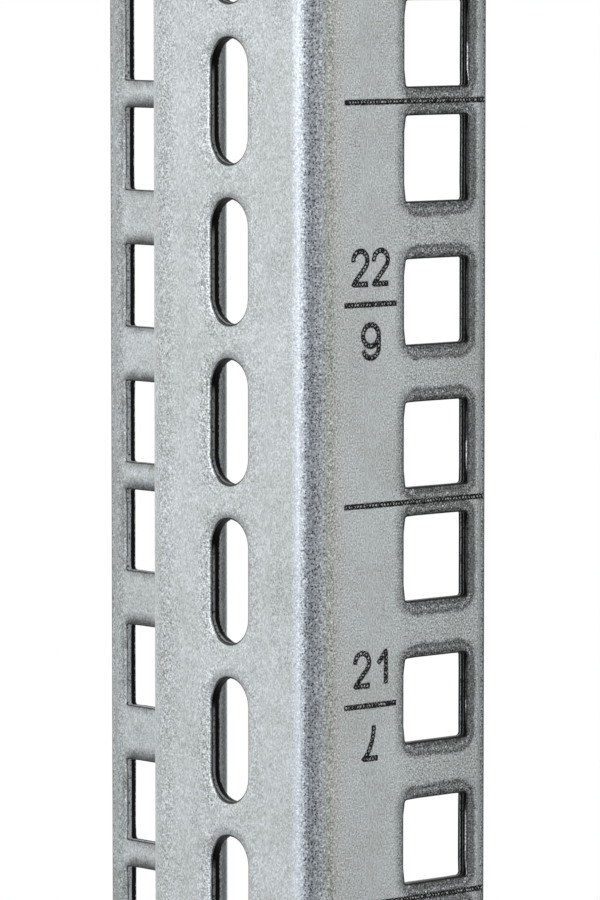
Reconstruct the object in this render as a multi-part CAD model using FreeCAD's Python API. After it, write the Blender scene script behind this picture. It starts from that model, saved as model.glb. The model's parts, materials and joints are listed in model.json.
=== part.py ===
"""Vertical mounting rail for a 19-inch cabinet, one folded and punched strip of galvanised sheet steel.

The strip runs front flange, web, step, rear flange, with a right-angle fold between each pair.
X runs along the front face towards its free edge, Y goes back into the cabinet, Z is up.
The origin lies on the front face, on the line of the square holes, at the foot of the lowest rack unit.
"""
import FreeCAD, Part
import math
import os

# Sheet and folds
SHEET_THICKNESS = 1.5
FOLD_INSIDE_RADIUS = 2.5

# Rack units up the rail, and the plain steel beyond the first and the last of them
UNIT_HEIGHT = 44.45
UNIT_COUNT = 27
END_MARGIN = 7.5

# Flats of the section, each measured over the outside of its folds
FRONT_FLANGE_WIDTH = 26.6
WEB_DEPTH = 28.6
STEP_WIDTH = 12.4
REAR_FLANGE_DEPTH = 20.0

# Square holes for cage nuts, three to a rack unit, in the front and the rear flange
SQUARE_HOLE = 9.5
HOLE_EDGE_DISTANCE = 7.5
HOLES_PER_UNIT = 3
HOLE_SPACING = 15.875

# Upright slots in the web, five to every two rack units
SLOT_WIDTH = 6.2
SLOT_LENGTH = 13.9
SLOT_SETBACK = 13.5
SLOTS_PER_PAIR_OF_UNITS = 5
SLOT_END_FLATS = 12

# Length that a punch stands out of the sheet on either side
PUNCH_OVERRUN = 1.0

UP = FreeCAD.Vector(0, 0, 1)

# Places that follow from the sizes above
fold_outside_radius = FOLD_INSIDE_RADIUS + SHEET_THICKNESS
front_free_edge = HOLE_EDGE_DISTANCE
web_outer_face = front_free_edge - FRONT_FLANGE_WIDTH
step_rear_face = WEB_DEPTH
rear_flange_outer_face = web_outer_face + STEP_WIDTH
rear_free_edge = step_rear_face + REAR_FLANGE_DEPTH
rear_hole_line = rear_free_edge - HOLE_EDGE_DISTANCE
rail_foot = -END_MARGIN
rail_length = UNIT_COUNT * UNIT_HEIGHT + 2 * END_MARGIN


def arc_of_fold(centre, radius, start_degrees, end_degrees):
    """Edge of one fold in the section, from one angle round its centre to another."""
    def point_at(degrees):
        angle = math.radians(degrees)
        return centre + FreeCAD.Vector(radius * math.cos(angle), radius * math.sin(angle), 0)

    middle_degrees = (start_degrees + end_degrees) / 2
    return Part.Arc(point_at(start_degrees), point_at(middle_degrees), point_at(end_degrees))


def folded_section():
    """Closed section of the strip: out along one face of the sheet and back along the other."""
    inside = FOLD_INSIDE_RADIUS
    outside = fold_outside_radius
    front_fold = FreeCAD.Vector(web_outer_face + outside, outside, 0)
    web_fold = FreeCAD.Vector(web_outer_face + outside, step_rear_face - outside, 0)
    step_fold = FreeCAD.Vector(rear_flange_outer_face - inside, step_rear_face + inside, 0)
    face_arcs = [
        arc_of_fold(front_fold, outside, 270, 180),
        arc_of_fold(web_fold, outside, 180, 90),
        arc_of_fold(step_fold, inside, 270, 360),
    ]
    back_arcs = [
        arc_of_fold(step_fold, outside, 360, 270),
        arc_of_fold(web_fold, inside, 90, 180),
        arc_of_fold(front_fold, inside, 180, 270),
    ]
    front_edge = [
        FreeCAD.Vector(front_free_edge, SHEET_THICKNESS, 0),
        FreeCAD.Vector(front_free_edge, 0, 0),
    ]
    rear_edge = [
        FreeCAD.Vector(rear_flange_outer_face, rear_free_edge, 0),
        FreeCAD.Vector(rear_flange_outer_face + SHEET_THICKNESS, rear_free_edge, 0),
    ]

    edges = [Part.LineSegment(*front_edge)]
    pen = front_edge[1]
    for arc in face_arcs:
        edges += [Part.LineSegment(pen, arc.StartPoint), arc]
        pen = arc.EndPoint
    edges += [Part.LineSegment(pen, rear_edge[0]), Part.LineSegment(*rear_edge)]
    pen = rear_edge[1]
    for arc in back_arcs:
        edges += [Part.LineSegment(pen, arc.StartPoint), arc]
        pen = arc.EndPoint
    edges.append(Part.LineSegment(pen, front_edge[0]))
    return Part.Face(Part.Wire([edge.toShape() for edge in edges]))


def square_hole_heights():
    """Heights of the hole centres: evenly spaced in each rack unit, the middle one at half its height."""
    heights = []
    for unit in range(UNIT_COUNT):
        middle = (unit + 0.5) * UNIT_HEIGHT
        for hole in range(HOLES_PER_UNIT):
            heights.append(middle + (hole - (HOLES_PER_UNIT - 1) / 2) * HOLE_SPACING)
    return heights


def slot_heights():
    """Heights of the slot centres: an even pitch that starts over at every second unit line."""
    pitch = 2 * UNIT_HEIGHT / SLOTS_PER_PAIR_OF_UNITS
    last = math.ceil(UNIT_COUNT * UNIT_HEIGHT / pitch)
    return [step * pitch for step in range(1, last)]


def front_hole_punch(height):
    """Square punch through the front flange."""
    corner = FreeCAD.Vector(-SQUARE_HOLE / 2, -PUNCH_OVERRUN, height - SQUARE_HOLE / 2)
    return Part.makeBox(SQUARE_HOLE, SHEET_THICKNESS + 2 * PUNCH_OVERRUN, SQUARE_HOLE, corner)


def rear_hole_punch(height):
    """Square punch through the rear flange."""
    corner = FreeCAD.Vector(
        rear_flange_outer_face - PUNCH_OVERRUN,
        rear_hole_line - SQUARE_HOLE / 2,
        height - SQUARE_HOLE / 2,
    )
    return Part.makeBox(SHEET_THICKNESS + 2 * PUNCH_OVERRUN, SQUARE_HOLE, SQUARE_HOLE, corner)


def fixing_slot_outline(top, foot, radius):
    """Outline of a slot that a fixing bolt bears in, with a true arc at either end."""
    across = FreeCAD.Vector(0, radius, 0)
    edges = [
        Part.Arc(top + across, top + UP * radius, top - across),
        Part.LineSegment(top - across, foot - across),
        Part.Arc(foot - across, foot - UP * radius, foot + across),
        Part.LineSegment(foot + across, top + across),
    ]
    return Part.Wire([edge.toShape() for edge in edges])


def plain_slot_outline(top, foot, radius):
    """Outline of a slot in the long row, with each round end drawn as a run of short flats."""
    def round_end(centre, start_degrees):
        points = []
        for flat in range(SLOT_END_FLATS + 1):
            angle = math.radians(start_degrees + 180 * flat / SLOT_END_FLATS)
            points.append(centre + FreeCAD.Vector(0, math.cos(angle), math.sin(angle)) * radius)
        return points

    points = round_end(top, 0) + round_end(foot, 180)
    return Part.makePolygon(points + points[:1])


def slot_punch(height, outline):
    """Round-ended punch through the web, upright on the line of the slots."""
    radius = SLOT_WIDTH / 2
    reach = UP * (SLOT_LENGTH / 2 - radius)
    middle = FreeCAD.Vector(web_outer_face - PUNCH_OVERRUN, SLOT_SETBACK, height)
    face = Part.Face(outline(middle + reach, middle - reach, radius))
    return face.extrude(FreeCAD.Vector(SHEET_THICKNESS + 2 * PUNCH_OVERRUN, 0, 0))


def mounting_rail():
    """The whole rail: the folded strip with every hole and slot punched out of it."""
    section = folded_section()
    section.translate(UP * rail_foot)
    strip = section.extrude(UP * rail_length)
    punches = []
    for height in square_hole_heights():
        punches += [front_hole_punch(height), rear_hole_punch(height)]
    first_slot, *row_of_slots, last_slot = slot_heights()
    for height in (first_slot, last_slot):
        punches.append(slot_punch(height, fixing_slot_outline))
    for height in row_of_slots:
        punches.append(slot_punch(height, plain_slot_outline))
    return strip.cut(Part.makeCompound(punches))


os.makedirs("parts", exist_ok=True)
rail = mounting_rail().Solids[0]
rail.exportStep("parts/mounting_rail.step")
print("mounting_rail valid", rail.isValid(), "volume", round(rail.Volume, 1), "faces", len(rail.Faces))
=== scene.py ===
import functools
import json
import math
import bpy
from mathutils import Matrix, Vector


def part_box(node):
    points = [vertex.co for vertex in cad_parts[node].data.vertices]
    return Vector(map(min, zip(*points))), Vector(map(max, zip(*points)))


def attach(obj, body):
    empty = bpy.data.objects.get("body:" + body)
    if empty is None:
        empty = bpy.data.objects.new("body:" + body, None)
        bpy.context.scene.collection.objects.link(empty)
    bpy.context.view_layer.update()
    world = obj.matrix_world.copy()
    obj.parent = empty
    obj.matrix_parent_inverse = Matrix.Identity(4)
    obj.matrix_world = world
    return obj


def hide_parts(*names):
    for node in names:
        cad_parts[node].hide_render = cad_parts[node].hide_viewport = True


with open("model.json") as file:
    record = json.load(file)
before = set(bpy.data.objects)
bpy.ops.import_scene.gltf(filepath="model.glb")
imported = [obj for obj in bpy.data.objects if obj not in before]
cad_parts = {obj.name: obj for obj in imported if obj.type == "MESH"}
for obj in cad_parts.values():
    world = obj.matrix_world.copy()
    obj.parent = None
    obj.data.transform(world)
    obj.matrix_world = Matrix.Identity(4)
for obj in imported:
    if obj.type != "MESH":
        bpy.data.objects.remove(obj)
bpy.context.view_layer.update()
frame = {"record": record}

# Folded strip. The rail is one strip of galvanised sheet steel, bent at right angles three times
# into a front flange, a web, a step and a rear flange. What stays unpunched is drawn out here from
# the foot to the top: the folds with the step between two of them, the free edges and the cut ends.
MM = 0.001
SHEET = 1.5 * MM
FOLD_INSIDE = 2.5 * MM
STEP_WIDTH = 12.4 * MM
REAR_FLANGE_DEPTH = 20.0 * MM
FOLD_LAND = 0.4 * MM
FOLD_STEPS = 14
EDGE_ROUND = 0.25 * MM
EDGE_STEPS = 3
FREE_EDGE_DEPTH = -1.0 * MM

rail_low, rail_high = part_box("mounting_rail")
foot, top = rail_low.z, rail_high.z
front_edge, rear_edge = rail_high.x, rail_high.y
web_face = rail_low.x
step_face = rear_edge - REAR_FLANGE_DEPTH
rear_face = web_face + STEP_WIDTH
fold_outside = FOLD_INSIDE + SHEET
front_fold = (web_face + fold_outside, fold_outside)
web_fold = (web_face + fold_outside, step_face - fold_outside)
step_fold = (rear_face - FOLD_INSIDE, step_face + FOLD_INSIDE)


def bend(centre, radius, start, end, steps=FOLD_STEPS):
    """Points of a round stretch of the section, from one angle in degrees to another."""
    angles = [math.radians(start + (end - start) * step / steps) for step in range(steps + 1)]
    return [(centre[0] + radius * math.cos(a), centre[1] + radius * math.sin(a)) for a in angles]


def sheared_edge(first_centre, second_centre, start):
    """Free edge of the sheet, slightly rounded where it meets either face."""
    first = bend(first_centre, EDGE_ROUND, start, start - 90, EDGE_STEPS)
    return first + bend(second_centre, EDGE_ROUND, start - 90, start - 180, EDGE_STEPS)


front_edge_run = sheared_edge(
    (front_edge - EDGE_ROUND, SHEET - EDGE_ROUND), (front_edge - EDGE_ROUND, EDGE_ROUND), 90
)
rear_edge_run = sheared_edge(
    (rear_face + EDGE_ROUND, rear_edge - EDGE_ROUND),
    (rear_face + SHEET - EDGE_ROUND, rear_edge - EDGE_ROUND),
    180,
)
front_land = front_fold[0] + FOLD_LAND
web_front_land = front_fold[1] + FOLD_LAND
web_rear_land = web_fold[1] - FOLD_LAND
rear_land = step_fold[1] + FOLD_LAND
front_fold_face = [
    (front_land, 0), *bend(front_fold, fold_outside, 270, 180), (web_face, web_front_land)
]
step_run_face = [
    (web_face, web_rear_land),
    *bend(web_fold, fold_outside, 180, 90),
    *bend(step_fold, FOLD_INSIDE, 270, 360),
    (rear_face, rear_land),
]
step_run_back = [
    (rear_face + SHEET, rear_land),
    *bend(step_fold, fold_outside, 360, 270),
    *bend(web_fold, FOLD_INSIDE, 90, 180),
    (web_face + SHEET, web_rear_land),
]
front_fold_back = [
    (web_face + SHEET, web_front_land), *bend(front_fold, FOLD_INSIDE, 180, 270), (front_land, SHEET)
]
plain_runs = [
    front_edge_run, front_fold_face, step_run_face, rear_edge_run, step_run_back, front_fold_back
]
sheared_runs = (front_edge_run, rear_edge_run)


def new_piece(name, points, edges, faces, layers=()):
    """Object of a mesh, with its layers of values, each given by its name, type, domain and values."""
    mesh = bpy.data.meshes.new(name)
    mesh.from_pydata(points, edges, faces)
    for layer, kind, domain, values in layers:
        mesh.attributes.new(layer, kind, domain).data.foreach_set("value", values)
    return bpy.data.objects.new(name, mesh)


def plain_strip():
    """The unpunched runs of the section drawn out from foot to top, closed by the two cut ends."""
    section = [point for run in plain_runs for point in run]
    count = len(section)
    points = [(x, y, foot) for x, y in section] + [(x, y, top) for x, y in section]
    faces = []
    sheared = []
    start = 0
    for run in plain_runs:
        for k in range(start, start + len(run) - 1):
            faces.append((k, k + count, k + 1 + count, k + 1))
            sheared.append(run in sheared_runs)
        start += len(run)
    faces += [range(count), range(2 * count - 1, count - 1, -1)]
    sheared += [True, True]
    layers = [
        ("sheared", "BOOLEAN", "FACE", sheared),
        ("depth", "FLOAT", "POINT", [FREE_EDGE_DEPTH] * len(points)),
    ]
    return new_piece("mounting_rail_visual", points, [], faces, layers)


rail = plain_strip()
bpy.context.scene.collection.objects.link(rail)

# Punched rows. Both flanges have square cage-nut holes, three to a rack unit, and the web has upright
# slots. Each was punched from the outer face, which drew the sheet in round the hole, left a smooth
# cut band below that, and broke the rest of the wall away in a rough, slightly wider face.
UNIT_HEIGHT = 44.45 * MM
UNIT_COUNT = 27
HOLES_PER_UNIT = 3
HOLE_SPACING = 15.875 * MM
SQUARE_HOLE = 9.5 * MM
HOLE_CORNER = 0.3 * MM
HOLE_EDGE_DISTANCE = 7.5 * MM
SLOTS_PER_PAIR_OF_UNITS = 5
RAGGEDNESS = 0.16 * MM
RAGGED_WAVES = 1.4 / MM
SHARP_ANGLE = math.radians(40)
WELD = 0.002 * MM
CORNER_STEPS = 2
SLOT_END_STEPS = 8
LIP_RUN_OUT = 1.6 * MM
LIP_AT_CORNER = 0.15

# Wall of a punched hole: distance out from the hole's size and depth below the outer face
RIM_REACH = 1.5 * MM
DRAWN_IN = [
    (RIM_REACH, 0),
    (0.60 * MM, 0.015 * MM),
    (0.30 * MM, 0.07 * MM),
    (0.10 * MM, 0.17 * MM),
]
CUT_BAND = [(0, 0.30 * MM), (0, 0.70 * MM)]
BROKEN_WALL = [(0.05 * MM, SHEET), (RIM_REACH, SHEET)]

slots_mount = next(mount for mount in frame["record"]["mounts"] if mount["name"] == "web_slots")
slot_radius = slots_mount["dims"]["hole_r_mm"] * MM
slot_length = slots_mount["dims"]["slot_length_mm"] * MM
slot_setback = slots_mount["pos_m"][1]
slot_pitch = 2 * UNIT_HEIGHT / SLOTS_PER_PAIR_OF_UNITS
slot_count = math.ceil(UNIT_COUNT * UNIT_HEIGHT / slot_pitch) - 1
rear_hole_line = rear_edge - HOLE_EDGE_DISTANCE
hole_half = SQUARE_HOLE / 2


def hole_outline(half_width, half_height, corner, steps, run_out):
    """Points round a hole with rounded corners, counterclockwise, with more where a lip runs out."""
    points = []
    for turn, (x, y) in enumerate([(1, 1), (-1, 1), (-1, -1), (1, -1)]):
        centre = (x * (half_width - corner), y * (half_height - corner))
        arc = bend(centre, corner, 90 * turn, 90 * turn + 90, steps)
        if run_out:
            along = (math.sin(math.radians(90 * turn)), -math.cos(math.radians(90 * turn)))
            before = (arc[0][0] + run_out * along[0], arc[0][1] + run_out * along[1])
            after = (arc[-1][0] + run_out * along[1], arc[-1][1] - run_out * along[0])
            arc = [before, *arc, after]
        points += [point for point in arc if not points or math.dist(point, points[-1]) > WELD]
    return points if math.dist(points[0], points[-1]) > WELD else points[:-1]


def punched_rim(name, half_width, half_height, corner, steps, run_out, lip_at_corner):
    """The sheet close round one hole, face up: drawn-in lip, cut band, broken wall and back face."""
    profile = DRAWN_IN + CUT_BAND + BROKEN_WALL
    first_cut = len(DRAWN_IN)
    last_cut = len(profile) - 2
    side, end = half_width - corner - WELD, half_height - corner - WELD
    outline = hole_outline(half_width, half_height, corner, steps, run_out)
    lip = [lip_at_corner if abs(x) > side and abs(y) > end else 1 for x, y in outline]
    points = []
    for ring, (out, depth) in enumerate(profile):
        ring_outline = hole_outline(half_width + out, half_height + out, corner + out, steps, run_out)
        for (x, y), drawn in zip(ring_outline, lip):
            points.append((x, y, -depth * (drawn if ring <= first_cut else 1)))
    count = len(lip)
    faces = []
    for ring in range(len(profile) - 1):
        for k in range(count):
            k_next = (k + 1) % count
            outer, inner = ring * count, (ring + 1) * count
            faces.append((outer + k, outer + k_next, inner + k_next, inner + k))
    face_rings = [face // count for face in range(len(faces))]
    point_rings = [point // count for point in range(len(points))]
    layers = [
        ("sheared", "BOOLEAN", "FACE", [first_cut <= ring < last_cut for ring in face_rings]),
        ("face_rim", "BOOLEAN", "POINT", [ring == 0 for ring in point_rings]),
        ("ragged", "BOOLEAN", "POINT", [first_cut < ring <= last_cut for ring in point_rings]),
        ("depth", "FLOAT", "POINT", [-point[2] for point in points]),
    ]
    return new_piece(name, points, [], faces, layers)


class Wire:
    """An output socket of a node tree; arithmetic on it adds Math nodes to that tree."""

    def __init__(self, socket):
        self.socket = socket

    @staticmethod
    def node(tree, kind, settings=None, sockets=None, output=0):
        """Add a node, first its settings and then its sockets' values or links; returns one output."""
        node = tree.nodes.new(kind)
        for name, value in (settings or {}).items():
            setattr(node, name, value)
        for name, value in (sockets or {}).items():
            socket = node.inputs[name]
            for item in value if isinstance(value, list) else [value]:
                if isinstance(item, Wire):
                    tree.links.new(item.socket, socket)
                else:
                    socket.default_value = item
        return Wire(node.outputs[output]) if output is not None else None

    def math(self, operation, first, second=None):
        sockets = {0: first} if second is None else {0: first, 1: second}
        return Wire.node(self.socket.id_data, "ShaderNodeMath", {"operation": operation}, sockets)

    def __add__(self, other):
        return self.math("ADD", self, other)

    def __sub__(self, other):
        return self.math("SUBTRACT", self, other)

    def __rsub__(self, other):
        return self.math("SUBTRACT", other, self)

    def __mul__(self, other):
        return self.math("MULTIPLY", self, other)

    def __truediv__(self, other):
        return self.math("DIVIDE", self, other)

    def __mod__(self, other):
        return self.math("FLOORED_MODULO", self, other)

    def __abs__(self):
        return self.math("ABSOLUTE", self)

    def least(self, other):
        return self.math("MINIMUM", self, other)

    def most(self, other):
        return self.math("MAXIMUM", self, other)

    def root(self):
        return self.math("SQRT", self)

    def rounded(self):
        return self.math("ROUND", self)

    __radd__ = __add__
    __rmul__ = __mul__


def vector(tree, x=0.0, y=0.0, z=0.0):
    """Vector put together from three numbers or wires."""
    return Wire.node(tree, "ShaderNodeCombineXYZ", {}, {"X": x, "Y": y, "Z": z})


def group_inputs(tree, sockets):
    """Declare a tree's inputs by name and type, and return a wire for each by its name."""
    for name, kind in sockets.items():
        tree.interface.new_socket(name, in_out="INPUT", socket_type=kind)
    node = tree.nodes.new("NodeGroupInput")
    return {name: Wire(node.outputs[name]) for name in sockets}


def group_output(tree, geometry):
    """Declare a tree's one output and link the finished geometry to it."""
    tree.interface.new_socket("Geometry", in_out="OUTPUT", socket_type="NodeSocketGeometry")
    tree.links.new(geometry.socket, tree.nodes.new("NodeGroupOutput").inputs[0])


def add_modifier(piece, tree, values):
    """Put a tree on a piece as a modifier, with its inputs given by name."""
    modifier = piece.modifiers.new(tree.name, "NODES")
    modifier.node_group = tree
    for item in tree.interface.items_tree:
        if item.in_out == "INPUT" and item.name in values:
            modifier[item.identifier] = values[item.name]


def make_plain_mesh(piece):
    """Turn what the modifiers made of a piece into its own mesh, and take the modifiers off."""
    evaluated = piece.evaluated_get(bpy.context.evaluated_depsgraph_get())
    mesh = bpy.data.meshes.new_from_object(evaluated)
    piece.modifiers.clear()
    piece.data = mesh
    for number in reversed(range(len(mesh.materials))):
        if mesh.materials[number] is None:
            mesh.materials.pop(index=number)


def punched_flat_tree():
    """Tree that adds one flat of the strip, with its row of punched rims, to the geometry it is given.

    The flat is laid out face up, with the rail's length along Y, and then stood up in its place.
    """
    tree = bpy.data.node_groups.new("punched_flat", "GeometryNodeTree")
    put = group_inputs(tree, {
        "Geometry": "NodeSocketGeometry",
        "Rim": "NodeSocketObject",
        "Groups": "NodeSocketInt",
        "First height": "NodeSocketFloat",
        "Pitch": "NodeSocketFloat",
        "Holes in group": "NodeSocketInt",
        "Hole spacing": "NodeSocketFloat",
        "Row line": "NodeSocketFloat",
        "Left side": "NodeSocketFloat",
        "Right side": "NodeSocketFloat",
        "Foot": "NodeSocketFloat",
        "Top": "NodeSocketFloat",
        "Sheet": "NodeSocketFloat",
        "Raggedness": "NodeSocketFloat",
        "Turn": "NodeSocketFloat",
        "Place": "NodeSocketVector",
        "Zinc": "NodeSocketMaterial",
        "Bare steel": "NodeSocketMaterial",
    })
    node = functools.partial(Wire.node, tree)

    def mark(name):
        return node("GeometryNodeInputNamedAttribute", {"data_type": "BOOLEAN"}, {"Name": name})

    group_line = node("GeometryNodeMeshLine", {"mode": "OFFSET"}, {
        "Count": put["Groups"],
        "Start Location": vector(tree, put["Row line"], put["First height"]),
        "Offset": vector(tree, 0, put["Pitch"]),
    })
    hole_line = node("GeometryNodeMeshLine", {"mode": "OFFSET"}, {
        "Count": put["Holes in group"],
        "Start Location": vector(tree, 0, 0),
        "Offset": vector(tree, 0, put["Hole spacing"]),
    })
    places = node("GeometryNodeInstanceOnPoints", {}, {"Points": group_line, "Instance": hole_line})
    places = node("GeometryNodeRealizeInstances", {}, {"Geometry": places})
    rim = node("GeometryNodeObjectInfo", {}, {"Object": put["Rim"]}, "Geometry")
    rims = node("GeometryNodeInstanceOnPoints", {}, {"Points": places, "Instance": rim})
    rims = node("GeometryNodeRealizeInstances", {}, {"Geometry": rims})

    outlines = node("GeometryNodeMeshToCurve", {}, {"Mesh": rims, "Selection": mark("face_rim")})
    border = node("GeometryNodeCurvePrimitiveQuadrilateral", {}, {
        "Width": put["Right side"] - put["Left side"],
        "Height": put["Top"] - put["Foot"],
    })
    middle = vector(tree, (put["Left side"] + put["Right side"]) / 2, (put["Foot"] + put["Top"]) / 2)
    border = node("GeometryNodeTransform", {}, {"Geometry": border, "Translation": middle})
    drawing = node("GeometryNodeJoinGeometry", {}, {"Geometry": [border, outlines]})
    face = node("GeometryNodeFillCurve", {}, {"Curve": drawing})
    through = vector(tree, 0, 0, 0 - put["Sheet"])
    back = node("GeometryNodeTransform", {}, {"Geometry": face, "Translation": through})
    back = node("GeometryNodeFlipFaces", {}, {"Mesh": back})

    grain = node("ShaderNodeTexNoise", {}, {"Scale": RAGGED_WAVES, "Detail": 2.0}, "Color")
    grain = node("ShaderNodeVectorMath", {"operation": "SUBTRACT"}, {0: grain, 1: (0.5, 0.5, 0.5)})
    grain = node("ShaderNodeVectorMath", {"operation": "SCALE"}, {0: grain, "Scale": put["Raggedness"]})
    rims = node("GeometryNodeSetPosition", {}, {
        "Geometry": rims, "Selection": mark("ragged"), "Offset": grain
    })

    flat = node("GeometryNodeJoinGeometry", {}, {"Geometry": [rims, face, back]})
    stand_up = vector(tree, math.radians(90), 0, put["Turn"])
    flat = node("GeometryNodeTransform", {}, {
        "Geometry": flat, "Translation": put["Place"], "Rotation": stand_up
    })
    whole = node("GeometryNodeJoinGeometry", {}, {"Geometry": [put["Geometry"], flat]})
    whole = node("GeometryNodeMergeByDistance", {}, {"Geometry": whole, "Distance": WELD})
    whole = node("GeometryNodeSetMaterial", {}, {"Geometry": whole, "Material": put["Zinc"]})
    whole = node("GeometryNodeSetMaterial", {}, {
        "Geometry": whole, "Selection": mark("sheared"), "Material": put["Bare steel"]
    })
    group_output(tree, whole)
    return tree


ZINC_LIGHT = (0.544, 0.577, 0.586, 1)
ZINC_DARK = (0.520, 0.547, 0.544, 1)
# blue of the painted reflection on the front fold
ZINC_COOL_REFLECTION = (0.518, 0.554, 0.600, 1)
ZINC_WARM = (0.535, 0.558, 0.546, 1)
ZINC_METAL = 0.6
ZINC_ROUGHNESS = 0.37
GRAIN_SIZE = 0.2 * MM
PIT_SIZE = 0.27 * MM
PIT_SHARE = 0.7
FLECK_SIZE = 0.28 * MM
FLECK_SHARE = 0.5
MOTTLE_SIZE = 1.3 * MM
PATCH_SIZE = 7 * MM
CLOUD_SIZE = 9 * MM
ZINC_BUMP = 0.25
ZINC_BUMP_DEPTH = 0.02 * MM
SMEAR_WANDER = 0.7 * MM
FACE_DEPTH = 0.6 * MM
FAR = 10
# near-black of the break and of the free edges: painted shade
BREAK_SHADE = (0.006, 0.006, 0.007, 1)
CUT_BRIGHT = (0.8, 0.81, 0.82, 1)
EDGE_SHADE = (0.02, 0.02, 0.021, 1)
EDGE_LIGHT = (0.16, 0.165, 0.17, 1)
BREAK_GRAIN_SIZE = 0.25 * MM


def new_material(name):
    """Empty node material: returns it with its tree, and a wire of Object coordinates in it."""
    material = bpy.data.materials.new(name)
    material.use_nodes = True
    tree = material.node_tree
    tree.nodes.clear()
    place = Wire.node(tree, "ShaderNodeTexCoord", {}, {}, "Object")
    return material, tree, place


def finish_material(tree, sockets):
    """Shader of a material, with its constants and its wires, linked to the output."""
    shader = Wire.node(tree, "ShaderNodeBsdfPrincipled", {}, sockets)
    Wire.node(tree, "ShaderNodeOutputMaterial", {}, {"Surface": shader}, None)


def noise(tree, place, size, detail=2.0):
    """Noise of about the given grain size, from 0 to 1."""
    sockets = {"Vector": place, "Scale": 1 / size, "Detail": detail}
    return Wire.node(tree, "ShaderNodeTexNoise", {}, sockets, "Fac")


def ramp(value, low, high):
    """Smooth step of a wire: 0 at low, 1 at high."""
    settings = {"interpolation_type": "SMOOTHSTEP"}
    sockets = {"Value": value, "From Min": low, "From Max": high}
    return Wire.node(value.socket.id_data, "ShaderNodeMapRange", settings, sockets)


def fade(value, low, high):
    """Smooth step of a wire the other way round: 1 at low, 0 at high."""
    return 1 - ramp(value, low, high)


def band(value, start, full, full_end, end):
    """1 between full and full_end, running out to 0 at start and at end."""
    return ramp(value, start, full) * fade(value, full_end, end)


def mix(factor, first, second):
    """Colour between two others."""
    settings = {"data_type": "RGBA", "clamp_factor": True}
    sockets = {0: factor, 6: first, 7: second}
    return Wire.node(factor.socket.id_data, "ShaderNodeMix", settings, sockets, 2)


def shade(colour, amount):
    """Colour made darker or lighter by a factor."""
    sockets = {0: colour, "Scale": amount}
    return Wire.node(amount.socket.id_data, "ShaderNodeVectorMath", {"operation": "SCALE"}, sockets)


def beyond(value, limit):
    """How far a wire lies above a limit, and 0 below it."""
    return (value - limit).most(0)


def length(across, along):
    """Length of the slope over two sides at a right angle."""
    return (across * across + along * along).root()


def outside(across, along, half_width, half_height, corner):
    """Distance outside a rounded rectangle about the middle of two coordinates."""
    over = beyond(abs(across), half_width - corner)
    up = beyond(abs(along), half_height - corner)
    return length(over, up) - corner


def above_nearest_slot(z):
    """Height above the middle of the nearest slot."""
    return (z + slot_pitch / 2) % slot_pitch - slot_pitch / 2


def dots(tree, place, size, share):
    """Round dots strewn over a surface, 1 on a dot and 0 between; only a share of the cells has one."""
    sockets = {"Vector": place, "Scale": 1 / size}
    distance = Wire.node(tree, "ShaderNodeTexVoronoi", {}, sockets, "Distance")
    colour = Wire(distance.socket.node.outputs["Color"])
    chance = Wire.node(tree, "ShaderNodeSeparateColor", {}, {0: colour}, "Red")
    return fade(distance, 0.2, 0.45) * fade(chance, share - 0.05, share + 0.05)


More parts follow.
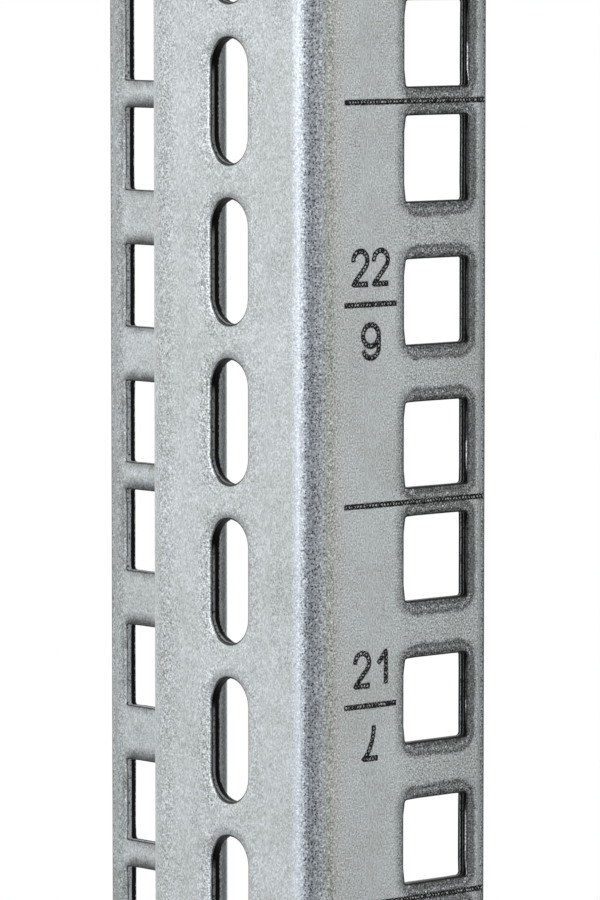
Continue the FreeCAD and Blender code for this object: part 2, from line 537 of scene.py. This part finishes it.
def zinc_material():
    """Matt galvanised coating: finely grained, pitted at the front fold and dull round the holes."""
    material, tree, place = new_material("galvanised_zinc")
    x, y, z = [Wire.node(tree, "ShaderNodeSeparateXYZ", {}, {0: place}, axis) for axis in "XYZ"]
    grain = noise(tree, place, GRAIN_SIZE) - 0.5
    mottle = noise(tree, place, MOTTLE_SIZE, 3.0) - 0.5
    cloud = noise(tree, place, CLOUD_SIZE) - 0.5
    pits = dots(tree, place, PIT_SIZE, PIT_SHARE)
    flecks = dots(tree, place, FLECK_SIZE, FLECK_SHARE)
    patches = ramp(noise(tree, place, PATCH_SIZE, 4.0), 0.5, 0.64)
    smear = mottle * SMEAR_WANDER

    # The coating as a whole, and the front fold, measured across its arc, where it is pitted. Along the
    # fold's middle and on its flank a painted dark reflection is laid in, and light flecks on its
    # highlight are painted glints
    across_fold = x - web_face - y
    pitted = band(across_fold, -2.0 * MM, -0.6 * MM, 3.0 * MM, 5.4 * MM)
    tight = pitted * fade(across_fold, 0.8 * MM, 2.2 * MM)
    dark_reflection_line = band(across_fold, -1.1 * MM, -0.2 * MM, 0.3 * MM, 1.0 * MM)
    dark_reflection_flank = band(across_fold, 1.7 * MM, 2.5 * MM, 3.2 * MM, 4.2 * MM)
    painted_glints = band(across_fold, -3.2 * MM, -2 * MM, -0.5 * MM, 1 * MM)
    on_front = ramp(across_fold, 2 * MM, 5 * MM)
    tone = 1 + (1.6 + 0.7 * on_front) * grain + 0.14 * mottle + 0.15 * cloud
    tone = tone * (1 - 0.4 * patches * pits)
    # painted dark reflection along the fold's middle and on its flank
    tone = tone * (1 - 0.06 * pitted + 0.1 * tight - 0.2 * dark_reflection_line - 0.14 * dark_reflection_flank)
    tone = tone * (1 - pits * (0.5 * pitted + 0.5 * tight))
    # painted glints: light flecks where the fold's highlight lies
    tone = tone * (1 + flecks * (0.25 * pitted + 0.4 * painted_glints))
    tone = tone * (1 + 1.6 * pitted * grain)

    # The strips of the flanges that the punches worked, the margins beside them, painted shade along
    # the front free edge, painted shade over the rear flange beside the web and step, and painted
    # shade, with pits, where the web turns into its rear fold
    front_row = ramp(x, -6.5 * MM, -3.5 * MM) * fade(y, 0.2 * MM, 0.8 * MM)
    front_margin = ramp(x, 6.0 * MM, 7.0 * MM)
    free_edge_shade = ramp(x, front_edge - 0.6 * MM, front_edge - 0.2 * MM)
    rear_flange_shade = ramp(y, step_face + 2 * MM, step_face + 4 * MM)
    rear_margin = ramp(y, rear_hole_line + 4.4 * MM, rear_hole_line + 6.2 * MM)
    web_rear_fold_shade = band(y, web_rear_land - 2 * MM, web_rear_land, step_face - 1 * MM, step_face)
    tone = tone * (1 - front_row * (0.1 + 0.06 * ramp(x, 0, 4 * MM)))
    tone = tone * (1 - 0.28 * front_margin)
    # painted shade along the front free edge
    tone = tone * (1 - (0.35 + 0.3 * pits) * free_edge_shade)
    # painted shade over the rear flange, with its margin darker still
    tone = tone * (1 - 0.1 * rear_flange_shade - 0.2 * rear_margin)
    # painted shade, with pits, where the web turns into its rear fold
    tone = tone * (1 - web_rear_fold_shade * (0.06 + 0.3 * pits - grain))
    tone = tone * (1 - pits * (0.3 * front_row + 0.4 * front_margin + 0.35 * rear_margin))
    tone = tone * (1 + (1.2 * front_row + 1.8 * front_margin + 1.2 * rear_margin) * grain)

    # Height above the nearest square hole. What lies past the ends of a row, or off the outer face,
    # counts as far from every hole, so that the marks of the punch stay on the outer face
    in_unit = z % UNIT_HEIGHT - UNIT_HEIGHT / 2
    nearest_hole = (in_unit / HOLE_SPACING).rounded().most(-1).least(1)
    above_hole = in_unit - nearest_hole * HOLE_SPACING
    past_units = FAR * beyond(0 - z, 0) + FAR * beyond(z, UNIT_COUNT * UNIT_HEIGHT)
    past_slots = FAR * beyond(slot_pitch / 2 - z, 0)
    past_slots = past_slots + FAR * beyond(z, (slot_count + 0.5) * slot_pitch)
    off_front = past_units + FAR * beyond(y, FACE_DEPTH)
    off_web = past_slots + FAR * beyond(x, web_face + FACE_DEPTH)
    off_rear = past_units + FAR * beyond(x, rear_face + FACE_DEPTH) + FAR * beyond(rear_land - y, 0)
    level_edge = ramp(abs(above_hole), hole_half - 0.2 * MM, hole_half)
    over_or_under = ramp(abs(above_hole), hole_half - 0.8 * MM, hole_half + 0.2 * MM)

    # Front holes: a dull smear with a lighter band in it, a painted dark edge at top and bottom,
    # painted shade on the lips at the sides, and in places a painted highlight line at the right
    front = outside(x - 0.3 * MM, above_hole + 0.04 * MM, hole_half, hole_half + 0.76 * MM, 1.6 * MM)
    front = front + smear
    front_smear = fade(front + off_front, 0.65 * MM, 1.15 * MM)
    right_of_hole = ramp(x, 0, 1 * MM) * (1 - over_or_under)
    light_band = ramp(front, -0.35 * MM, 0.15 * MM) * (1 - 0.65 * ramp(front, 0.25 * MM, 0.5 * MM))
    front_dull = over_or_under * (0.23 - 0.26 * light_band) + 0.55 + 0.13 * right_of_hole
    speckle = (0.3 + 0.7 * over_or_under) * (1.5 * flecks - 0.6 * pits + 2.8 * grain)
    front_gap = outside(x, above_hole, hole_half, hole_half, HOLE_CORNER) + off_front
    front_shade = fade(front_gap + smear, 0.3 * MM, 1.9 * MM) * (1 - right_of_hole)
    front_shade = front_shade * (1 - front_smear)
    front_line = level_edge * fade(front_gap, 0.1 * MM, 0.24 * MM)
    side_lip_shade = (1 - level_edge) * fade(front_gap, 0.12 * MM, 0.36 * MM)
    side_highlight_line = right_of_hole * ramp(cloud, 0, 0.08) * fade(front_gap, 0.03 * MM, 0.12 * MM)
    tone = tone * (1 - front_shade * (0.46 + 0.4 * pits - grain))
    tone = tone * (1 - front_smear * front_dull) * (1 + front_smear * speckle)
    # painted dark edge, painted shade on the side lips and a painted highlight line at the right
    tone = tone * (1 - 0.95 * front_line) * (1 - 0.6 * side_lip_shade) * (1 + 12 * side_highlight_line)

    # Rear holes: a darker patch that lies mostly above the hole, a painted dark edge at top and bottom,
    # and a painted highlight on the lip at either side
    from_line = y - rear_hole_line
    rear = outside(from_line, above_hole - 0.3 * MM, hole_half, hole_half + 0.2 * MM, 1.2 * MM)
    rear_darkening = fade(rear + smear + off_rear, -0.5 * MM, 1.4 * MM)
    rear_gap = outside(from_line, above_hole, hole_half, hole_half, HOLE_CORNER) + off_rear
    rear_line = level_edge * fade(rear_gap, 0.03 * MM, 0.2 * MM)
    rear_lip_highlight = (1 - level_edge) * band(rear_gap, 0.05 * MM, 0.15 * MM, 0.3 * MM, 0.5 * MM)
    tone = tone * (1 - 0.82 * rear_darkening) * (1 + rear_darkening * (0.3 * flecks + grain))
    # painted dark edge and painted highlight on the side lips
    tone = tone * (1 - 0.9 * rear_line) * (1 + rear_lip_highlight * (0.5 + 0.8 * flecks))

    # Slots: painted shade round the slot, most of all above it, a painted dark edge, and a speckled lip
    # on the rear side with a painted highlight
    above_slot = above_nearest_slot(z)
    slot = outside(y - slot_setback, above_slot, slot_radius, slot_length / 2, slot_radius) + off_web
    over_slot = ramp(above_slot, slot_length / 2 - 2.5 * MM, slot_length / 2)
    behind_slot = ramp(y - slot_setback, 1.5 * MM, 3 * MM)
    slot_shade = fade(slot + smear, 0, 1.5 * MM) * (0.2 + 0.8 * over_slot)
    slot_line = fade(slot - 0.14 * MM * (1 - behind_slot), 0.02 * MM, 0.14 * MM)
    slot_lip_highlight = behind_slot * band(slot, 0.1 * MM, 0.2 * MM, 0.4 * MM, 0.7 * MM)
    slot_side = fade(slot, 1.2 * MM, 2.4 * MM) * (0.3 + 0.7 * behind_slot)
    # painted shade round the slot and a painted dark edge
    tone = tone * (1 - 0.36 * slot_shade) * (1 - slot_line * (0.9 - 0.3 * behind_slot))
    # painted highlight on the rear lip
    tone = tone * (1 + slot_lip_highlight * (0.08 + 0.3 * flecks))
    tone = tone * (1 + slot_side * (0.15 * flecks - 0.3 * pits + 1.5 * grain))

    # The front fold is painted slightly blue as painted reflection colour, and the coating beside it
    # slightly warm
    cool_reflection = band(across_fold, -3.6 * MM, -1.5 * MM, 0.8 * MM, 2.5 * MM)
    warm = band(across_fold, 1.5 * MM, 3 * MM, 4 * MM, 7 * MM)
    colour = mix(ramp(mottle + cloud, -0.15, 0.15), ZINC_DARK, ZINC_LIGHT)
    colour = mix(cool_reflection, mix(warm, colour, ZINC_WARM), ZINC_COOL_REFLECTION)
    bump = Wire.node(tree, "ShaderNodeBump", {}, {
        "Strength": ZINC_BUMP, "Distance": ZINC_BUMP_DEPTH, "Height": grain + pitted * (flecks - pits)
    })
    finish_material(tree, {
        "Base Color": shade(colour, tone),
        "Metallic": ZINC_METAL,
        "Roughness": ZINC_ROUGHNESS + 0.1 * mottle,
        "Normal": bump,
    })
    return material


def sheared_material():
    """Bare steel where the sheet was cut: bright cut band, a rough break painted nearly black as
    painted shade, and a light line at the burr.
    """
    material, tree, place = new_material("sheared_steel")
    y, z = [Wire.node(tree, "ShaderNodeSeparateXYZ", {}, {0: place}, axis) for axis in "YZ"]
    grain = noise(tree, place, BREAK_GRAIN_SIZE, 3.0)
    behind = ramp(y, 2 * MM, 3 * MM)
    at_rear = ramp(y, step_face, step_face + 1 * MM)
    depth = Wire.node(tree, "ShaderNodeAttribute", {"attribute_name": "depth"}, {}, "Fac")
    depth = depth + (grain - 0.5) * (0.14 * MM + 0.14 * MM * at_rear)

    # The front holes' walls have two thin light lines, the others a bright cut band and a burr
    front_line = band(depth, 1.04 * MM, 1.08 * MM, 1.22 * MM, 1.28 * MM)
    front_line = front_line + 0.4 * band(depth, 0.58 * MM, 0.62 * MM, 0.68 * MM, 0.74 * MM)
    slot_top = slot_length / 2
    below_top = at_rear.most(fade(above_nearest_slot(z), slot_top - 4.6 * MM, slot_top - 2.8 * MM))
    cut_band = ramp(depth + 0.25 * MM * at_rear, 0.38 * MM, 0.44 * MM)
    cut_band = cut_band * fade(depth, 0.74 * MM, 0.8 * MM)
    cut_band = behind * below_top * cut_band * (0.4 + 0.3 * at_rear)
    burr = behind * ramp(depth, 1.34 * MM, 1.42 * MM)
    light = (0.6 * (1 - behind) * front_line + cut_band) * ramp(grain, 0.25, 0.55)
    light = light + burr * (0.1 + 0.5 * ramp(grain, 0.45, 0.65))

    # Free edges and cut ends are marked by a depth below 0, and painted dark grey to near-black as
    # painted shade
    free_edge = fade(depth, -0.6 * MM, -0.4 * MM)
    edge_colour = mix(ramp(grain, 0.4, 0.6), EDGE_SHADE, EDGE_LIGHT)
    colour = mix(free_edge, mix(light, BREAK_SHADE, CUT_BRIGHT), edge_colour)
    finish_material(tree, {
        "Base Color": colour, "Metallic": 0.5, "Roughness": 0.5, "Specular IOR Level": 0.1
    })
    return material


zinc = zinc_material()
bare_steel = sheared_material()

square_rim = punched_rim(
    "square_rim", hole_half, hole_half, HOLE_CORNER, CORNER_STEPS, LIP_RUN_OUT, LIP_AT_CORNER
)
slot_rim = punched_rim("slot_rim", slot_radius, slot_length / 2, slot_radius, SLOT_END_STEPS, 0, 1)
common = {
    "Foot": foot,
    "Top": top,
    "Sheet": SHEET,
    "Raggedness": RAGGEDNESS,
    "Zinc": zinc,
    "Bare steel": bare_steel,
}
square_row = {
    "Rim": square_rim,
    "Groups": UNIT_COUNT,
    "First height": UNIT_HEIGHT / 2 - HOLE_SPACING * (HOLES_PER_UNIT - 1) / 2,
    "Pitch": UNIT_HEIGHT,
    "Holes in group": HOLES_PER_UNIT,
    "Hole spacing": HOLE_SPACING,
}
slot_row = {
    "Rim": slot_rim,
    "Groups": slot_count,
    "First height": slot_pitch,
    "Pitch": slot_pitch,
    "Holes in group": 1,
    "Hole spacing": 0.0,
}
front_flat = {
    "Row line": 0.0,
    "Left side": front_land,
    "Right side": front_edge - EDGE_ROUND,
    "Turn": 0.0,
    "Place": (0, 0, 0),
}
web_flat = {
    "Row line": -slot_setback,
    "Left side": -web_rear_land,
    "Right side": -web_front_land,
    "Turn": math.radians(-90),
    "Place": (web_face, 0, 0),
}
rear_flat = {
    "Row line": -rear_hole_line,
    "Left side": -(rear_edge - EDGE_ROUND),
    "Right side": -rear_land,
    "Turn": math.radians(-90),
    "Place": (rear_face, 0, 0),
}
punched_flat = punched_flat_tree()
for row, flat in [(square_row, front_flat), (slot_row, web_flat), (square_row, rear_flat)]:
    add_modifier(rail, punched_flat, {**common, **row, **flat})
make_plain_mesh(rail)
for pattern in (square_rim, slot_rim):
    bpy.data.objects.remove(pattern)
rail.data.shade_smooth()
rail.data.set_sharp_from_angle(angle=SHARP_ANGLE)

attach(rail, "root")
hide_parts("mounting_rail")

# Unit marks. Dull black ink, about a hundredth of a millimetre proud, printed in crossed rows of dots
# on the front flange: a line at every unit, and a short line at its middle with the unit's number
# above it and, upside down below it, the number counted from the other end.
MARK_HEIGHT = 3.66 * MM
MARK_WIDTH = 2.1 * MM
MARK_ADVANCE = 3.05 * MM
MARK_GAP = 2.25 * MM
MARK_MIDDLE = -9.98 * MM
LINE_START = -13.93 * MM
SHORT_LINE_END = -6.13 * MM
UNIT_LINE_END = 7.1 * MM
INK_WIDTH = 0.64 * MM
INK_PROUD = 0.012 * MM
INK_STEP = 0.11 * MM
INK_UNEVENNESS = 0.6
INK_EDGE_WAVES = 2.2 / MM
STROKE_END_ROUND = 0.95
INK_BLACK = (0.006, 0.006, 0.007, 1)
INK_GAP = (0.6, 0.615, 0.62, 1)
INK_SPREAD_SIZE = 0.3 * MM
INK_PATCH_SIZE = 0.5 * MM
DOT_PITCH = 0.44 * MM
DOT_ROW_SLANT = 0.7
DOT_ROW_WANDER = 1.6


def digit_strokes(digit):
    """Strokes of one digit, as point lists in a box with its lower left corner at the origin."""
    w, h, r = MARK_WIDTH, MARK_HEIGHT, MARK_WIDTH / 2
    bowl = 0.56 * w
    small = 0.46 * w
    large = (h - 2 * small) / 2
    leg = 5.4 * MM
    upper, lower = (r, h - r), (r, r)
    if digit == 0:
        return [[*bend(upper, r, 0, 180), *bend(lower, r, 180, 360), (w, h - r)]]
    if digit == 1:
        return [[(0.18 * w, 0.64 * h), (0.74 * w, h), (0.74 * w, 0)]]
    if digit == 2:
        return [[*bend(upper, r, 188, -36), (0, 0), (1.05 * w, 0)]]
    if digit == 3:
        return [bend((r, h - small), small, 150, -80), bend((r, large), large, 80, -145)]
    if digit == 4:
        return [[(0.72 * w, 0), (0.72 * w, h), (0, 0.28 * h), (w, 0.28 * h)]]
    if digit == 5:
        return [[(0.92 * w, h), (0.12 * w, h), *bend((0.45 * w, large), large, 125, -140)]]
    if digit == 6:
        tail = [(0, bowl), *bend((bowl, h - bowl), bowl, 180, 15)]
        return [bend((bowl, bowl), bowl, 180, 540, 2 * FOLD_STEPS), tail]
    if digit == 7:
        return [[(-0.06 * w, h), (w, h), *bend((0.23 * w + leg, 0), leg, 138, 180)]]
    if digit == 8:
        circles = [((r, h - small), small), ((r, large), large)]
        return [bend(centre, radius, 90, 450, 2 * FOLD_STEPS) for centre, radius in circles]
    return [[(w - x, h - y) for x, y in stroke] for stroke in digit_strokes(6)]


def number_strokes(number, height, turned):
    """Strokes of a unit's number beside the short line at a height, upright or upside down."""
    side = -1 if turned else 1
    strokes = []
    for order, letter in enumerate(str(number)):
        for stroke in digit_strokes(int(letter)):
            strokes.append([(x + order * MARK_ADVANCE, y) for x, y in stroke])
    reach = [x for stroke in strokes for x, y in stroke]
    middle = (min(reach) + max(reach)) / 2
    return [
        [(MARK_MIDDLE + side * (x - middle), height + side * (MARK_GAP + y)) for x, y in stroke]
        for stroke in strokes
    ]


def mark_strokes():
    """Every stroke on the flange, as lists of points along the face and up the rail."""
    strokes = []
    for unit in range(UNIT_COUNT + 1):
        line = unit * UNIT_HEIGHT
        strokes.append([(LINE_START, line), (UNIT_LINE_END, line)])
    for unit in range(UNIT_COUNT):
        middle = (unit + 0.5) * UNIT_HEIGHT
        strokes.append([(LINE_START, middle), (SHORT_LINE_END, middle)])
        strokes += number_strokes(unit + 1, middle, False)
        strokes += number_strokes(UNIT_COUNT - unit, middle, True)
    return strokes


def stroke_lines(name, strokes):
    """Object of bare edges that run along the strokes."""
    points = []
    edges = []
    for stroke in strokes:
        first = len(points)
        points += [(x, y, 0) for x, y in stroke]
        edges += [(k, k + 1) for k in range(first, len(points) - 1)]
    return new_piece(name, points, edges, [])


def inked_stroke_tree():
    """Tree that lays a thin round-ended skin along each stroke, and stands it up in the front face."""
    tree = bpy.data.node_groups.new("inked_stroke", "GeometryNodeTree")
    put = group_inputs(tree, {
        "Geometry": "NodeSocketGeometry",
        "Width": "NodeSocketFloat",
        "Step": "NodeSocketFloat",
        "Proud": "NodeSocketFloat",
        "Unevenness": "NodeSocketFloat",
        "Ink": "NodeSocketMaterial",
    })
    node = functools.partial(Wire.node, tree)

    def keep(geometry, name, value):
        settings = {"data_type": "FLOAT", "domain": "POINT"}
        sockets = {"Geometry": geometry, "Name": name, "Value": value}
        return node("GeometryNodeStoreNamedAttribute", settings, sockets)

    curve = node("GeometryNodeMeshToCurve", {}, {"Mesh": put["Geometry"]})
    curve = node("GeometryNodeResampleCurve", {"mode": "LENGTH"}, {
        "Curve": curve, "Length": put["Step"]
    })
    along = node("GeometryNodeSplineParameter", {}, {}, "Length")
    from_end = along.least(node("GeometryNodeSplineLength", {}, {}, "Length") - along)
    to_full_width = beyond(1 - 2 * from_end / put["Width"], 0).least(STROKE_END_ROUND)
    round_end = (1 - to_full_width * to_full_width).root()
    uneven = node("ShaderNodeTexNoise", {}, {"Scale": INK_EDGE_WAVES, "Detail": 1.0}) - 0.5
    curve = keep(curve, "along", along)
    curve = node("GeometryNodeSetCurveNormal", {"mode": "Z_UP"}, {"Curve": curve})
    profile = node("GeometryNodeCurvePrimitiveQuadrilateral", {}, {
        "Width": put["Width"], "Height": 2 * put["Proud"]
    })
    place = node("GeometryNodeInputPosition")
    profile = keep(profile, "across", node("ShaderNodeSeparateXYZ", {}, {0: place}, "X"))
    curve = node("GeometryNodeSetCurveRadius", {}, {
        "Curve": curve, "Radius": round_end * (1 + put["Unevenness"] * uneven)
    })
    skin = node("GeometryNodeCurveToMesh", {}, {
        "Curve": curve, "Profile Curve": profile, "Fill Caps": True
    })
    skin = node("GeometryNodeTransform", {}, {"Geometry": skin, "Rotation": (math.radians(90), 0, 0)})
    skin = node("GeometryNodeRealizeInstances", {}, {"Geometry": skin})
    group_output(tree, node("GeometryNodeSetMaterial", {}, {"Geometry": skin, "Material": put["Ink"]}))
    return tree


def mark_material():
    """Dull black ink, with pale gaps here and there between its crossed rows of dots."""
    material, tree, place = new_material("printed_black")
    along, across = [
        Wire.node(tree, "ShaderNodeAttribute", {"attribute_name": name}, {}, "Fac") / DOT_PITCH
        for name in ("along", "across")
    ]
    spread = noise(tree, place, INK_SPREAD_SIZE)
    gap = ramp(noise(tree, place, INK_PATCH_SIZE), 0.36, 0.54) * (1 - 0.5 * ramp(abs(across), 0.3, 0.6))
    for slant in (-DOT_ROW_SLANT, DOT_ROW_SLANT):
        in_row = (along + slant * across + DOT_ROW_WANDER * spread) % 1 - 0.5
        gap = gap * fade(abs(in_row), 0.14, 0.36)
    colour = mix(gap, INK_BLACK, INK_GAP)
    finish_material(tree, {
        "Base Color": colour, "Roughness": 0.55 + 0.2 * spread, "Specular IOR Level": 0.15
    })
    return material


marks = stroke_lines("unit_marks", mark_strokes())
bpy.context.scene.collection.objects.link(marks)
add_modifier(marks, inked_stroke_tree(), {
    "Width": INK_WIDTH,
    "Step": INK_STEP,
    "Proud": INK_PROUD,
    "Unevenness": INK_UNEVENNESS,
    "Ink": mark_material(),
})
make_plain_mesh(marks)
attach(marks, "root")

# Floor. A plain disc in pale matt paint, which the foot of the rail stands on. It ends just before
# the camera's view would meet it, so the picture shows only the white room behind the rail.
FLOOR_RADIUS = 5.2
FLOOR_SIDES = 96
FLOOR_COLOUR = (0.8, 0.8, 0.8, 1)
FLOOR_PATCH_SIZE = 0.2


def floor_material():
    """Plain matt paint, faintly uneven."""
    material, tree, place = new_material("pale_floor")
    uneven = noise(tree, place, FLOOR_PATCH_SIZE)
    finish_material(tree, {"Base Color": FLOOR_COLOUR, "Roughness": 0.7 + 0.1 * uneven})
    return material


floor_edge = bend((0, 0), FLOOR_RADIUS, 0, 360, FLOOR_SIDES)[:-1]
floor = new_piece("floor", [(x, y, foot) for x, y in floor_edge], [], [range(FLOOR_SIDES)])
floor.data.materials.append(floor_material())
bpy.context.scene.collection.objects.link(floor)

# Studio. A white room with a tall soft lamp to the left of the rail and a weaker one behind it on the
# left. Black curtains hang behind the camera and to the right, and only show as reflections.
ROOM_LIGHT = 0.65
LAMP_COLOUR = (0.94, 0.97, 1.0)
LAMPS_LOOK_AT = (0, 0, 0.95)
CURTAIN_DISTANCE = 1.3
CURTAIN_HEIGHT = 1.6
CLOTH_BLACK = (0.02, 0.02, 0.02, 1)


def aim(thing, place, target):
    """Put a lamp or curtain at a place and point it at a target."""
    thing.location = place
    away = thing.location - type(thing.location)(target)
    thing.rotation_euler = away.to_track_quat("Z", "Y").to_euler()


def soft_lamp(name, azimuth, distance, height, width, tall, watts):
    """Area lamp that stands round the rail at an azimuth in degrees, counted from +X towards +Y."""
    lamp = bpy.data.objects.new(name, bpy.data.lights.new(name, "AREA"))
    lamp.data.shape = "RECTANGLE"
    lamp.data.size, lamp.data.size_y = width, tall
    lamp.data.energy = watts
    lamp.data.color = LAMP_COLOUR
    angle = math.radians(azimuth)
    aim(lamp, (distance * math.cos(angle), distance * math.sin(angle), height), LAMPS_LOOK_AT)
    lamp.visible_camera = False
    bpy.context.scene.collection.objects.link(lamp)


def black_cloth():
    """Plain black cloth with hardly any sheen."""
    material, tree, _ = new_material("black_cloth")
    finish_material(tree, {"Base Color": CLOTH_BLACK, "Roughness": 0.9})
    return material


def hang_curtain(name, azimuth, width, middle, cloth):
    """Upright curtain at an azimuth in degrees, which only shows as a reflection."""
    across, up = width / 2, CURTAIN_HEIGHT / 2
    corners = [(-across, -up, 0), (across, -up, 0), (across, up, 0), (-across, up, 0)]
    curtain = new_piece(name, corners, [], [range(4)])
    curtain.data.materials.append(cloth)
    angle = math.radians(azimuth)
    place = (CURTAIN_DISTANCE * math.cos(angle), CURTAIN_DISTANCE * math.sin(angle), middle)
    aim(curtain, place, (0, 0, middle))
    curtain.visible_camera = False
    curtain.visible_diffuse = False
    curtain.visible_shadow = False
    bpy.context.scene.collection.objects.link(curtain)


world = bpy.data.worlds.new("studio")
bpy.context.scene.world = world
world.use_nodes = True
room = world.node_tree
rays = ("Camera", "Glossy", "Transmission")
seen = [Wire.node(room, "ShaderNodeLightPath", {}, {}, f"Is {ray} Ray") for ray in rays]
seen = seen[0].most(seen[1]).most(seen[2])
background = room.nodes["Background"]
background.inputs["Color"].default_value = (1, 1, 1, 1)
room.links.new((ROOM_LIGHT + (1 - ROOM_LIGHT) * seen).socket, background.inputs["Strength"])

soft_lamp("left_lamp", azimuth=183, distance=1.1, height=1.55, width=0.56, tall=1.7, watts=7.9)
soft_lamp("back_lamp", azimuth=134, distance=2.4, height=1.3, width=1.2, tall=1.8, watts=1.9)
cloth = black_cloth()
hang_curtain("front_curtain", azimuth=230, width=1.35, middle=0.3, cloth=cloth)
hang_curtain("side_curtain", azimuth=-4, width=1.1, middle=0.9, cloth=cloth)

# Camera. It has a long lens, stands about 0.64 m from the rail, level with its upper units, and looks
# down a little on the front left edge.
CAMERA_PLACE = (-0.4351, -0.4636, 0.9951)
CAMERA_HEADING = 41.81
CAMERA_PITCH = 5.042
CAMERA_LENS = 229.15
camera = bpy.data.objects.new("camera", bpy.data.cameras.new("camera"))
camera.location = CAMERA_PLACE
camera.rotation_euler = (math.radians(90 - CAMERA_PITCH), 0, math.radians(-CAMERA_HEADING))
camera.data.lens = CAMERA_LENS
camera.data.clip_start = 0.01
bpy.context.scene.collection.objects.link(camera)
bpy.context.scene.camera = camera
bpy.context.scene.view_settings.view_transform = "Standard"
